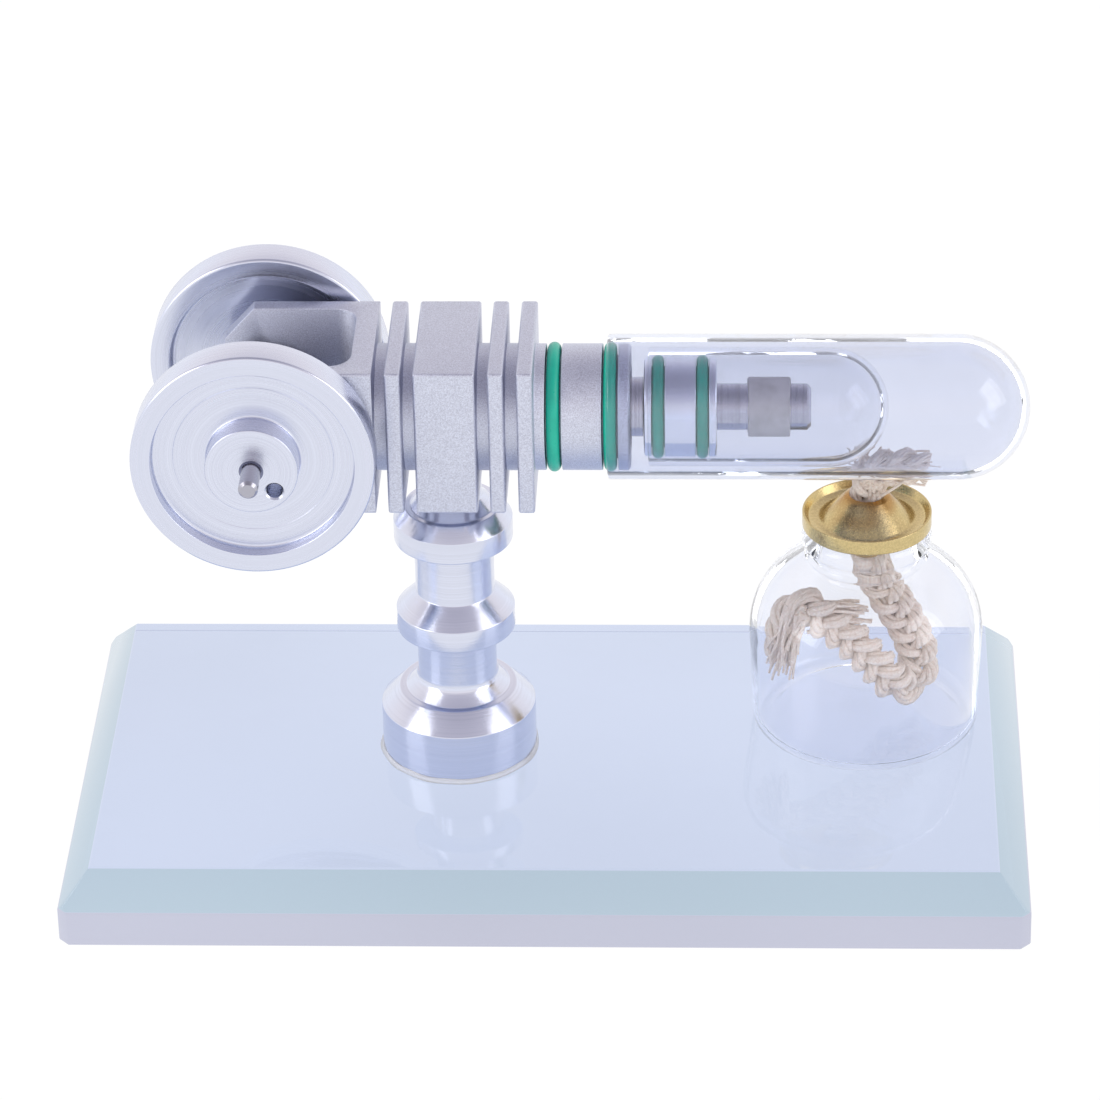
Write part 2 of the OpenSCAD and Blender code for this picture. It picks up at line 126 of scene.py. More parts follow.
class EngineColours(bpy.types.PropertyGroup):
    """Colours of the finishes"""

    aluminium: colour("Aluminium", "Bare aluminium", 0xDFE3F2)
    aluminium_shade: colour("Aluminium shade", "Darker grain in the aluminium", 0xB9BBCB)
    steel: colour("Steel", "Ground and turned steel", 0xB0AFB8)
    dark_steel: colour("Dark steel", "Polished dark stem and gland", 0xD4D2DA)
    plate: colour("Plate glass", "Colour seen through the crystal plate", 0xCFD9F0)
    # The bevel tint is partly the glass's own edge tint and partly painted shade; the wall tint is painted
    # shade.
    plate_bevel_tint_and_shade: colour("Plate bevels", "Tint of the ground bevels round the plate", 0xB9CBDA)
    plate_wall_shade: colour("Plate walls", "Tint of the upright walls round the plate", 0xC4C6D8)
    glass: colour("Tube glass", "Tint of the hot tube", 0xEDF0FA)
    inner_glass: colour("Displacer glass", "Tint of the displacer's tube", 0xFAFBFE)
    bottle: colour("Bottle glass", "Tint of the lamp's bottle", 0xF9FAFE)
    seal: colour("Seal", "Moulded rubber of the O-rings", 0x0FBCA0)
    sleeve: colour("Sleeve", "Silicone sleeve on the stem", 0xDCD8D8)
    brass: colour("Brass", "Turned brass of the wick holder", 0xD9C48F)
    brass_stain: colour("Brass stain", "Heat stain round the wick", 0xA9783C)
    cotton: colour("Cotton", "Braided cotton of the wick", 0xFFF8EF)
    cotton_shade: colour("Cotton shade", "Deep folds of the cotton", 0xE9D6C8)
    graphite: colour("Graphite", "Ground graphite of the piston", 0x3A3A3D)


class StageSettings(bpy.types.PropertyGroup):
    """Floor, lights and camera"""

    floor: colour("Floor", "Colour of the floor", 0xFFFFFF)
    sky_low: colour("Low sky", "Soft light near the horizon", 0xFCFDFF)
    sky_middle: colour("Middle sky", "Soft light half way up", 0xF6F0EF)
    sky_high: colour("High sky", "Light from well above", 0xC6C2CC)
    sky_top: colour("Top of the sky", "Dark straight above", 0xA3A0AB)
    sky_power: share("Sky power", "Strength of the soft surrounding light", 1.1, 5)
    key_power: share("Key power", "Power of a side light in watts", 4.0, 50)


# Mesh helpers

def fillet(corners, steps=5):
    """Outline through (radius, along, fillet) corners in mm, where each fillet becomes an arc."""
    outline = []
    count = len(corners)
    for i, (r, h, f) in enumerate(corners):
        here = Vector((r, h))
        if f == 0 or i in (0, count - 1):
            outline.append(here * MM)
            continue
        back = (Vector(corners[i - 1][:2]) - here).normalized()
        on = (Vector(corners[i + 1][:2]) - here).normalized()
        opening = back.angle(on)
        reach = f / math.tan(opening / 2)
        centre = here + (back + on).normalized() * (f / math.sin(opening / 2))
        first = here + back * reach - centre
        sweep = first.angle_signed(here + on * reach - centre)
        for k in range(steps + 1):
            outline.append((centre + Matrix.Rotation(-sweep * k / steps, 2) @ first) * MM)
    return outline


def bow(centre, radii, start, end, steps):
    """Sharp corners along an elliptical arc, for use in an outline."""
    return [
        (centre[0] + radii[0] * math.cos(math.radians(start + (end - start) * k / steps)),
         centre[1] + radii[1] * math.sin(math.radians(start + (end - start) * k / steps)), 0)
        for k in range(steps + 1)
    ]


def lathe(outline, foot, axis, steps, closed=False):
    """Spins an outline of (radius, along) points about the axis that starts at foot."""
    axis = Vector(axis)
    side = axis.orthogonal().normalized()
    bm = bmesh.new()
    verts = [bm.verts.new(foot + side * p.x + axis * p.y) for p in outline]
    ends = verts[1:] + verts[:1] if closed else verts[1:]
    edges = [bm.edges.new(pair) for pair in zip(verts, ends)]
    bmesh.ops.spin(
        bm, geom=verts + edges, cent=foot, axis=axis, dvec=(0, 0, 0), angle=TURN,
        space=Matrix.Identity(4), steps=steps, use_merge=True, use_normal_flip=False, use_duplicate=False,
    )
    bmesh.ops.remove_doubles(bm, verts=bm.verts, dist=1e-6)
    bmesh.ops.recalc_face_normals(bm, faces=bm.faces)
    return bm


def solid_copy(node, edge, segments=2):
    """A CAD node's mesh with its faces joined up and its sharp edges rounded."""
    bm = bmesh.new()
    bm.from_mesh(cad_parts[node].data)
    bmesh.ops.remove_doubles(bm, verts=bm.verts, dist=1e-6)
    bmesh.ops.dissolve_limit(bm, angle_limit=math.radians(1), verts=bm.verts, edges=bm.edges)
    if edge:
        sharp = [e for e in bm.edges if len(e.link_faces) == 2 and e.calc_face_angle() > math.radians(35)]
        bmesh.ops.bevel(
            bm, geom=sharp, offset=edge, offset_type="OFFSET", affect="EDGES", segments=segments,
            profile=0.5, clamp_overlap=True, material=-1,
        )
    return bm


def place(name, bm, body, finish, stands_for=(), crease=30):
    """Makes a finished piece of a bmesh and hands it to its body."""
    mesh = bpy.data.meshes.new(name)
    bm.to_mesh(mesh)
    bm.free()
    for face in mesh.polygons:
        face.use_smooth = True
    mesh.set_sharp_from_angle(angle=math.radians(crease))
    mesh.materials.append(finish)
    piece = bpy.data.objects.new(name, mesh)
    bpy.context.scene.collection.objects.link(piece)
    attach(piece, body)
    if stands_for:
        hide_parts(*stands_for)
    return piece


def coat(finish, *nodes):
    """Gives CAD nodes a finish."""
    for node in nodes:
        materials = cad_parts[node].data.materials
        materials.clear()
        materials.append(finish)


def yarns(name, lines, radius):
    """A mesh of round yarns, one for each line of (point, thickness) pairs."""
    curve = bpy.data.curves.new(name, "CURVE")
    curve.dimensions = "3D"
    curve.bevel_depth = radius
    curve.bevel_resolution = 1
    curve.use_fill_caps = True
    for line in lines:
        spline = curve.splines.new("POLY")
        spline.points.add(len(line) - 1)
        for point, (spot, thick) in zip(spline.points, line):
            point.co = (*spot, 1)
            point.radius = thick
    helper = bpy.data.objects.new(name, curve)
    mesh = bpy.data.meshes.new_from_object(helper)
    bpy.data.objects.remove(helper)
    bpy.data.curves.remove(curve)
    bm = bmesh.new()
    bm.from_mesh(mesh)
    bpy.data.meshes.remove(mesh)
    return bm


# Shader helpers

class Finish:
    """A material's nodes, with short calls for the ones that every finish needs."""

    def __init__(self, name, **values):
        self.material = bpy.data.materials.new(name)
        self.material.use_nodes = True
        self.tree = self.material.node_tree
        self.surface = self.tree.nodes["Principled BSDF"]
        for socket, value in values.items():
            self.surface.inputs[socket.replace("_", " ")].default_value = value
        self.place = self.tree.nodes.new("ShaderNodeTexCoord").outputs["Object"]

    def node(self, kind, sources=None, **settings):
        """A new node, with its sockets linked or set from sources."""
        new = self.tree.nodes.new(kind)
        for key, value in settings.items():
            setattr(new, key, value)
        for key, value in (sources or {}).items():
            if isinstance(value, bpy.types.NodeSocket):
                self.tree.links.new(value, new.inputs[key])
            else:
                new.inputs[key].default_value = value
        return new

    def group(self, name, **sources):
        new = self.tree.nodes.new("ShaderNodeGroup")
        new.node_tree = bpy.data.node_groups[name]
        for key, value in sources.items():
            socket = new.inputs[key.replace("_", " ")]
            if isinstance(value, bpy.types.NodeSocket):
                self.tree.links.new(value, socket)
            else:
                socket.default_value = value
        return new

    def about(self, centre, turn=(0, 0, 0)):
        """Object coordinates counted from a point and turned, so that a pattern sits on its piece."""
        return self.node(
            "ShaderNodeMapping",
            {"Vector": self.node(
                "ShaderNodeVectorMath", {0: self.place, 1: tuple(centre)}, operation="SUBTRACT"
            ).outputs[0], "Rotation": tuple(math.radians(a) for a in turn)},
        ).outputs[0]

    def mix(self, mask, first, second):
        new = self.node("ShaderNodeMix", data_type="RGBA")
        for socket, value in ((new.inputs[0], mask), (new.inputs[6], first), (new.inputs[7], second)):
            if isinstance(value, bpy.types.NodeSocket):
                self.tree.links.new(value, socket)
            else:
                socket.default_value = (*value, 1) if hasattr(value, "__len__") else value
        return new.outputs[2]

    def feed(self, **sources):
        for key, value in sources.items():
            self.tree.links.new(value, self.surface.inputs[key.replace("_", " ")])
        return self

    def bump(self, height, strength, distance, normal=None):
        sources = {"Height": height, "Strength": strength, "Distance": distance}
        if normal is not None:
            sources["Normal"] = normal
        return self.node("ShaderNodeBump", sources).outputs[0]

    def span(self, value, low, high, start=0.0, end=1.0):
        return self.node(
            "ShaderNodeMapRange",
            {"Value": value, "From Min": start, "From Max": end, "To Min": low, "To Max": high},
        ).outputs[0]


def new_group(name, inputs, outputs):
    """An empty shader node group with named sockets. Returns its tree, its inputs and its outputs."""
    tree = bpy.data.node_groups.new(name, "ShaderNodeTree")
    for label, kind, value in inputs:
        socket = tree.interface.new_socket(name=label, in_out="INPUT", socket_type=kind)
        if value is not None:
            socket.default_value = value
    for label, kind in outputs:
        tree.interface.new_socket(name=label, in_out="OUTPUT", socket_type=kind)
    return tree, tree.nodes.new("NodeGroupInput").outputs, tree.nodes.new("NodeGroupOutput").inputs


def add_node(tree, kind, sources, **settings):
    new = tree.nodes.new(kind)
    for key, value in settings.items():
        setattr(new, key, value)
    for key, value in sources.items():
        if isinstance(value, bpy.types.NodeSocket):
            tree.links.new(value, new.inputs[key])
        else:
            new.inputs[key].default_value = value
    return new


def build_turned_rings():
    """Fine tool rings about the Z axis of the incoming vector."""
    tree, given, put = new_group(
        "turned rings",
        [("Vector", "NodeSocketVector", None), ("Pitch", "NodeSocketFloat", 4000.0)],
        [("Rings", "NodeSocketFloat"), ("Bands", "NodeSocketFloat")],
    )
    parts = add_node(tree, "ShaderNodeSeparateXYZ", {0: given["Vector"]}).outputs
    flat = add_node(tree, "ShaderNodeCombineXYZ", {0: parts[0], 1: parts[1], 2: 0.0}).outputs[0]
    radius = add_node(tree, "ShaderNodeVectorMath", {0: flat}, operation="LENGTH").outputs["Value"]
    line = add_node(tree, "ShaderNodeCombineXYZ", {0: radius, 1: 0.0, 2: parts[2]}).outputs[0]
    for label, factor, detail in (("Rings", 1.0, 3.0), ("Bands", 0.12, 2.0)):
        pitch = {0: given["Pitch"], 1: factor}
        scale = add_node(tree, "ShaderNodeMath", pitch, operation="MULTIPLY").outputs[0]
        noise = add_node(
            tree, "ShaderNodeTexNoise", {"Vector": line, "Scale": scale, "Detail": detail, "Roughness": 0.6}
        )
        tree.links.new(noise.outputs[0], put[label])


def build_blast_grain():
    """Fine speckle of a blasted surface: dark and light pits, sparkle points, which the blasted metal paints
    white as painted glints, and a soft drift.
    """
    tree, given, put = new_group(
        "blast grain",
        [("Vector", "NodeSocketVector", None), ("Scale", "NodeSocketFloat", 5500.0)],
        [("Grain", "NodeSocketFloat"), ("Sparkle", "NodeSocketFloat"), ("Drift", "NodeSocketFloat")],
    )
    fine = add_node(
        tree, "ShaderNodeTexNoise",
        {"Vector": given["Vector"], "Scale": given["Scale"], "Detail": 3.0, "Roughness": 0.7},
    )
    cells = add_node(tree, "ShaderNodeTexVoronoi", {"Vector": given["Vector"], "Scale": given["Scale"]})
    sparkle = add_node(
        tree, "ShaderNodeMapRange",
        {
            "Value": cells.outputs["Distance"], "From Min": 0.02, "From Max": 0.28,
            "To Min": 1.0, "To Max": 0.0,
        },
    )
    drift = add_node(
        tree, "ShaderNodeTexNoise", {"Vector": given["Vector"], "Scale": 90.0, "Detail": 2.0}
    )
    tree.links.new(fine.outputs[0], put["Grain"])
    tree.links.new(sparkle.outputs[0], put["Sparkle"])
    tree.links.new(drift.outputs[0], put["Drift"])


def build_smudges():
    """Soft patches and faint wipes, for glass and polished metal."""
    tree, given, put = new_group(
        "smudges",
        [("Vector", "NodeSocketVector", None), ("Scale", "NodeSocketFloat", 60.0)],
        [("Patches", "NodeSocketFloat"), ("Waves", "NodeSocketFloat")],
    )
    patches = add_node(
        tree, "ShaderNodeTexNoise",
        {"Vector": given["Vector"], "Scale": given["Scale"], "Detail": 6.0, "Roughness": 0.62},
    )
    soft = add_node(
        tree, "ShaderNodeMapRange",
        {"Value": patches.outputs[0], "From Min": 0.45, "From Max": 0.75, "To Min": 0.0, "To Max": 1.0},
    )
    waves = add_node(
        tree, "ShaderNodeTexNoise", {"Vector": given["Vector"], "Scale": given["Scale"], "Detail": 0.0}
    )
    tree.links.new(soft.outputs[0], put["Patches"])
    tree.links.new(waves.outputs[0], put["Waves"])


def colours():
    return bpy.context.scene.engine_colours


def sizes():
    return bpy.context.scene.engine_sizes


def turned_metal(name, base, shade, centre, turn, roughness, depth, pitch=4000.0, **values):
    """Metal with tool rings about an axis through centre."""
    finish = Finish(name, Metallic=1.0, **values)
    rings = finish.group("turned rings", Vector=finish.about(centre, turn), Pitch=pitch)
    drift = finish.group("blast grain", Vector=finish.place)
    tint = finish.mix(finish.span(rings.outputs["Rings"], 0.55, 1, 0.3, 0.7), shade, base)
    finish.feed(
        Base_Color=finish.mix(finish.span(drift.outputs["Drift"], 0, 0.25), tint, base),
        Roughness=finish.span(rings.outputs["Bands"], roughness * 0.75, roughness * 1.25, 0.3, 0.7),
        Normal=finish.bump(rings.outputs["Rings"], depth, 0.00006),
    )
    return finish.material


def blasted_metal(name, base, shade):
    """Bead-blasted aluminium with a few milling lines."""
    finish = Finish(name, Metallic=1.0)
    grain = finish.group("blast grain", Vector=finish.place)
    stretched = finish.node("ShaderNodeMapping", {"Vector": finish.place, "Scale": (60.0, 4200.0, 4200.0)})
    lines = finish.node(
        "ShaderNodeTexNoise", {"Vector": stretched.outputs[0], "Scale": 1.0, "Detail": 2.0}
    )
    tint = finish.mix(finish.span(grain.outputs["Grain"], 0, 1, 0.35, 0.65), shade, base)
    finish.feed(
        # Sparkle points mixed toward white are painted glints.
        Base_Color=finish.mix(finish.span(grain.outputs["Sparkle"], 0, 0.5), tint, (1, 1, 1)),
        Roughness=finish.span(grain.outputs["Grain"], 0.3, 0.48, 0.3, 0.7),
        Normal=finish.bump(
            grain.outputs["Grain"], 0.6, 0.0001, finish.bump(lines.outputs[0], 0.25, 0.0001)
        ),
    )
    return finish.material


def clear_glass(name, tint, wave, roughness=0.0, ior=1.47):
    """Clear glass with faint smudges and a little unevenness."""
    finish = Finish(name, Transmission_Weight=1.0, IOR=ior, Coat_Weight=1.0, Coat_Roughness=0.02)
    marks = finish.group("smudges", Vector=finish.place, Scale=70.0)
    finish.feed(
        Base_Color=finish.mix(
            finish.span(marks.outputs["Patches"], 0, 1), tint, tuple(c * 0.97 for c in tint)
        ),
        Roughness=finish.span(marks.outputs["Patches"], roughness, roughness + 0.02),
        Normal=finish.bump(marks.outputs["Waves"], wave, 0.0004),
    )
    return finish.material


def plate_crystal(name, tint, bevel_tint_and_shade, painted_wall_shade, high, wide, deep_at, edge):
    """Crystal plate: even tint on top; the same deeper tint in all four bevels, partly the glass's own edge
    tint and partly painted shade; and the same darker tint, which is painted shade, in all four walls.
    """
    finish = Finish(name, Transmission_Weight=1.0, IOR=1.5, Roughness=0.0)
    marks = finish.group("smudges", Vector=finish.place, Scale=26.0)
    parts = finish.node("ShaderNodeSeparateXYZ", {0: finish.place}).outputs
    across = finish.node("ShaderNodeMath", {0: parts[0]}, operation="ABSOLUTE").outputs[0]
    back = finish.node("ShaderNodeMath", {0: parts[1]}, operation="ABSOLUTE").outputs[0]
    above = finish.span(parts[2], 0, 1, high, high + 0.0001)
    tint_and_shade_masks = []
    for inset, level in ((0.0, above), (edge, finish.span(parts[2], 1, 0, high, high + 0.0001))):
        at_x = finish.span(across, 0, 1, wide + inset, wide + inset + 0.0001)
        at_y = finish.span(back, 0, 1, deep_at + inset, deep_at + inset + 0.0001)
        rim = finish.node("ShaderNodeMath", {0: at_x, 1: at_y}, operation="MAXIMUM").outputs[0]
        tint_and_shade_masks.append(finish.node("ShaderNodeMath", {0: rim, 1: level}, operation="MULTIPLY").outputs[0])
    soft = finish.mix(finish.span(marks.outputs["Patches"], 0, 1), tint, tuple(c * 0.96 for c in tint))
    finish.feed(
        # Bevels get a tint that is partly painted shade, and walls get painted shade.
        Base_Color=finish.mix(tint_and_shade_masks[1], finish.mix(tint_and_shade_masks[0], soft, bevel_tint_and_shade), painted_wall_shade),
        Roughness=finish.span(marks.outputs["Patches"], 0.0, 0.02),
        Normal=finish.bump(marks.outputs["Waves"], 0.01, 0.0004),
    )
    return finish.material


def glowing_plate_backing(name, light):
    """Even glowing backing that the plate is looked through to: painted light that stands in for the bright
    floor seen through the glass.
    """
    finish = Finish(name, Roughness=0.6, Emission_Strength=1.0)
    marks = finish.group("smudges", Vector=finish.place, Scale=14.0)
    finish.feed(
        Base_Color=finish.mix(marks.outputs["Patches"], (0.02, 0.02, 0.02), (0.03, 0.03, 0.03)),
        Emission_Color=finish.mix(
            finish.span(marks.outputs["Waves"], 0, 1, 0.3, 0.7), light, tuple(c * 0.94 for c in light)
        ),
    )
    return finish.material


def clear_glue(name):
    """Cloudy set glue with small bubbles."""
    finish = Finish(name, Transmission_Weight=0.4, IOR=1.2)
    grain = finish.group("blast grain", Vector=finish.place, Scale=1400.0)
    marks = finish.group("smudges", Vector=finish.place, Scale=420.0)
    finish.feed(
        Base_Color=finish.mix(grain.outputs["Sparkle"], (0.94, 0.96, 1.0), (1, 1, 1)),
        Roughness=finish.span(marks.outputs["Patches"], 0.05, 0.25),
        Normal=finish.bump(marks.outputs["Waves"], 0.4, 0.0004),
    )
    return finish.material


def seal_rubber(name, base):
    """Moulded rubber with a soft shine and a fine grain."""
    finish = Finish(name, Roughness=0.38, Specular_IOR_Level=0.55)
    grain = finish.group("blast grain", Vector=finish.place, Scale=2600.0)
    marks = finish.group("smudges", Vector=finish.place, Scale=180.0)
    finish.feed(
        Base_Color=finish.mix(
            finish.span(marks.outputs["Patches"], 0, 0.5), base, tuple(c * 0.62 for c in base)
        ),
        Roughness=finish.span(grain.outputs["Grain"], 0.26, 0.46, 0.3, 0.7),
        Normal=finish.bump(grain.outputs["Grain"], 0.15, 0.00008),
    )
    return finish.material


def sleeve_silicone(name, base):
    """Cloudy silicone tube, a little dusty."""
    finish = Finish(name, Transmission_Weight=0.12, IOR=1.41)
    grain = finish.group("blast grain", Vector=finish.place, Scale=3200.0)
    marks = finish.group("smudges", Vector=finish.place, Scale=260.0)
    finish.feed(
        Base_Color=finish.mix(marks.outputs["Patches"], base, tuple(c * 0.7 for c in base)),
        Roughness=finish.span(grain.outputs["Grain"], 0.45, 0.7, 0.3, 0.7),
        Normal=finish.bump(grain.outputs["Grain"], 0.3, 0.0001),
    )
    return finish.material


def stained_brass(name, base, stain, centre):
    """Pale sandy brass with a heat stain round the wick."""
    finish = Finish(name, Metallic=1.0)
    place_on = finish.about(centre)
    rings = finish.group("turned rings", Vector=place_on, Pitch=2200.0)
    grain = finish.group("blast grain", Vector=finish.place, Scale=2400.0)
    marks = finish.group("smudges", Vector=finish.place, Scale=330.0)
    parts = finish.node("ShaderNodeSeparateXYZ", {0: place_on}).outputs
    flat = finish.node("ShaderNodeCombineXYZ", {0: parts[0], 1: parts[1], 2: 0.0}).outputs[0]
    away = finish.node("ShaderNodeVectorMath", {0: flat}, operation="LENGTH").outputs["Value"]
    ragged = finish.node(
        "ShaderNodeMath", {0: away, 1: finish.span(marks.outputs["Waves"], -0.003, 0.003)}, operation="ADD"
    ).outputs[0]
    near = finish.span(ragged, 0.85, 0.0, 0.0025, 0.0068)
    grains = finish.span(grain.outputs["Grain"], 0, 1, 0.35, 0.65)
    sandy = finish.mix(grains, tuple(c * 0.78 for c in base), base)
    finish.feed(
        Base_Color=finish.mix(near, sandy, stain),
        Roughness=finish.span(grain.outputs["Grain"], 0.14, 0.3, 0.3, 0.7),
        Normal=finish.bump(
            grain.outputs["Grain"], 0.2, 0.00012, finish.bump(rings.outputs["Rings"], 0.1, 0.0001)
        ),
    )
    return finish.material


def cotton_yarn(name, base, shade):
    """Soft cotton with fine fibres."""
    finish = Finish(name, Roughness=0.92, Sheen_Weight=0.35, Sheen_Roughness=0.5)
    fibres = finish.node(
        "ShaderNodeTexNoise", {"Vector": finish.place, "Scale": 2600.0, "Detail": 5.0, "Roughness": 0.7}
    )
    marks = finish.group("smudges", Vector=finish.place, Scale=420.0)
    tint = finish.mix(finish.span(fibres.outputs[0], 0, 1, 0.35, 0.65), shade, base)
    finish.feed(
        Base_Color=finish.mix(finish.span(marks.outputs["Patches"], 0, 0.3), tint, shade),
        Roughness=finish.span(fibres.outputs[0], 0.82, 1.0, 0.3, 0.7),
        Normal=finish.bump(fibres.outputs[0], 0.6, 0.0002),
    )
    return finish.material


class STIRLING_OT_stage(bpy.types.Operator):
    """Sets up the floor, the soft lights and the camera"""

    bl_idname = "stirling.stage"
    bl_label = "Stage"

    def execute(self, context):
        scene = context.scene
        settings = scene.stage_settings
        scene.view_settings.view_transform = "Standard"
        self.floor(scene, settings)
        self.sky(scene, settings)
        self.lamps(scene, settings)
        self.camera(scene)
        return {"FINISHED"}

    def floor(self, scene, settings):
        bm = bmesh.new()
        bmesh.ops.create_grid(bm, x_segments=2, y_segments=2, size=3)
        mesh = bpy.data.meshes.new("floor")
        bm.to_mesh(mesh)
        bm.free()
        finish = Finish("floor paper", Roughness=0.9, Specular_IOR_Level=0.0, Emission_Strength=0.97)
        marks = finish.group("smudges", Vector=finish.place, Scale=3.0)
        base = tuple(settings.floor)
        finish.feed(
            Base_Color=finish.mix(marks.outputs["Patches"], (0.06, 0.06, 0.06), (0.05, 0.05, 0.05)),
            Emission_Color=finish.mix(marks.outputs["Patches"], base, tuple(c * 0.995 for c in base)),
        )
        mesh.materials.append(finish.material)
        floor = bpy.data.objects.new("floor", mesh)
        floor.location.z = -0.0001
        scene.collection.objects.link(floor)

    def sky(self, scene, settings):
        world = bpy.data.worlds.new("soft room")
        world.use_nodes = True
        tree = world.node_tree
        back = tree.nodes["Background"]
        direction = tree.nodes.new("ShaderNodeTexCoord").outputs["Generated"]
        height = add_node(tree, "ShaderNodeSeparateXYZ", {0: direction}).outputs[2]
        ramp = add_node(tree, "ShaderNodeValToRGB", {0: height})
        stops = ramp.color_ramp.elements
        stops.new(0.45)
        stops.new(0.75)
        shades = (settings.sky_low, settings.sky_middle, settings.sky_high, settings.sky_top)
        for stop, at, shade in zip(stops, (0.05, 0.45, 0.8, 1.0), shades):
            stop.position = at
            stop.color = (*shade, 1)
        tree.links.new(ramp.outputs[0], back.inputs[0])
        back.inputs[1].default_value = settings.sky_power
        scene.world = world

    def lamps(self, scene, settings):
        aim = Vector((0, 0, 0.06))
        for name, spot, width, height, power, tint in (
            ("left_box", (-1.1, -0.5, 0.7), 0.7, 0.9, 1.0, (1, 1, 1)),
            ("right_box", (1.15, -0.35, 0.7), 0.7, 0.9, 0.8, (1, 1, 1)),
        ):
            data = bpy.data.lights.new(name, "AREA")
            data.shape = "RECTANGLE"
            data.size, data.size_y = width, height
            data.energy = settings.key_power * power
            data.color = tint
            lamp = bpy.data.objects.new(name, data)
            lamp.location = spot
            lamp.rotation_euler = (aim - Vector(spot)).to_track_quat("-Z", "Y").to_euler()
            scene.collection.objects.link(lamp)

    def camera(self, scene):
        heading, tilt, roll = (math.radians(a) for a in (2.7727, 90 - 30.2723, -1.3013))
        data = bpy.data.cameras.new("camera")
        data.sensor_width = 36
        data.lens = 179.7
        data.clip_end = 20
        camera = bpy.data.objects.new("camera", data)
        turned = Matrix.Rotation(heading, 4, "Z") @ Matrix.Rotation(tilt, 4, "X")
        turned = turned @ Matrix.Rotation(roll, 4, "Z")
        camera.matrix_world = Matrix.Translation((0.036325, -0.739527, 0.47913)) @ turned
        scene.collection.objects.link(camera)
        scene.camera = camera


class STIRLING_OT_plate(bpy.types.Operator):
    """Makes the crystal plate, its glowing backing of painted light, and the clear glue round the post's
    foot
    """

    bl_idname = "stirling.plate"
    bl_label = "Glass plate"

    def execute(self, context):
        c = colours()
        low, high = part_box("base_plate")
        glass = plate_crystal(
            "plate crystal", deep(c.plate), deep(c.plate_bevel_tint_and_shade), deep(c.plate_wall_shade), 0.0059,
            high.x - 0.0049, high.y - 0.0045, 0.0029,
        )
        place(
            "crystal_plate", solid_copy("base_plate", sizes().plate_edge), "frame", glass,
            ["base_plate"], crease=20,
        )
        # A thin glowing slab at the plate's underside, which is painted light.
        bm = solid_copy("base_plate", 0)
        bmesh.ops.bisect_plane(
            bm, geom=bm.verts[:] + bm.edges[:] + bm.faces[:], plane_co=(0, 0, 0.13 * MM), plane_no=(0, 0, 1),
            clear_outer=True,
        )
        bmesh.ops.holes_fill(bm, edges=bm.edges, sides=0)
        bmesh.ops.scale(bm, vec=(0.998, 0.997, 1), verts=bm.verts)
        bmesh.ops.translate(bm, vec=(0, 0, 0.03 * MM), verts=bm.verts)
        bmesh.ops.recalc_face_normals(bm, faces=bm.faces)
        place("glowing_plate_backing", bm, "frame", glowing_plate_backing("glowing plate backing", (1, 1, 1)))
        low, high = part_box("glue_bead")
        foot = Vector(((low.x + high.x) / 2, (low.y + high.y) / 2, low.z))
        outer = (high.x - low.x) / 2 / MM
        bead = lathe(
            fillet([(12.22, 0, 0), (outer, 0, 0.1), (outer - 0.35, 0.5, 0.3), (12.22, 0.78, 0)], 4),
            foot, UP, sizes().lathe_steps, closed=True,
        )
        rng = random.Random(4)
        waves = [(rng.uniform(2, 14), rng.uniform(0, TURN)) for _ in range(6)]
        for vert in bead.verts:
            around = vert.co - foot
            angle = math.atan2(around.y, around.x)
            lump = sum(math.sin(k * angle + start) for k, start in waves) / len(waves)
            out = max(0.0, math.hypot(around.x, around.y) - 12.22 * MM)
            vert.co.z += min(0.25, 0.35 * lump) * around.z * 0.8
            vert.co -= Vector((around.x, around.y, 0)).normalized() * out * (0.35 + 0.35 * lump)
        place("foot_glue", bead, "frame", clear_glue("clear glue"),
              ["glue_bead"])
        return {"FINISHED"}


class STIRLING_OT_post(bpy.types.Operator):
    """Turns the aluminium post"""

    bl_idname = "stirling.post"
    bl_label = "Post"

    def execute(self, context):
        low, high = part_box("post")
        foot = Vector(((low.x + high.x) / 2, (low.y + high.y) / 2, low.z))
        top = (high.z - low.z) / MM
        outline = fillet([
            (0, 0, 0), (12.2, 0, 0.4), (12.2, 8.3, 0.25), (9.2, 11.3, 0.3), (8.2, 11.3, 0.3),
            (6.2, 13.4, 2.2), (6.2, 22.1, 0.3), (9.3, 22.1, 0.25), (9.3, 25.7, 0.25), (6.9, 28.1, 0.3),
            (6.2, 28.8, 0.3), (6.25, 38.1, 0.3), (9.3, 38.1, 0.25), (9.3, 41.7, 0.25), (7.5, 43.9, 0.3),
            (6.6, 43.9, 0.3), (4.6, 46.2, 2.0), (4.6, top, 0), (0, top, 0),
        ])
        c = colours()
        metal = turned_metal(
            "turned post", tuple(c.aluminium), tuple(c.aluminium_shade), foot, (0, 0, 0), 0.17, 0.12,
            pitch=11000.0,
        )
        place("turned_post", lathe(outline, foot, UP, sizes().lathe_steps), "frame",
              metal, ["post"])
        return {"FINISHED"}


class STIRLING_OT_block(bpy.types.Operator):
    """Finishes the engine block with broken edges"""

    bl_idname = "stirling.block"
    bl_label = "Engine block"

    def execute(self, context):
        c = colours()
        metal = blasted_metal("blasted block", tuple(c.aluminium), tuple(c.aluminium_shade))
        place("finned_block", solid_copy("engine_block", sizes().block_edge), "frame",
              metal, ["engine_block"], crease=35)
        return {"FINISHED"}


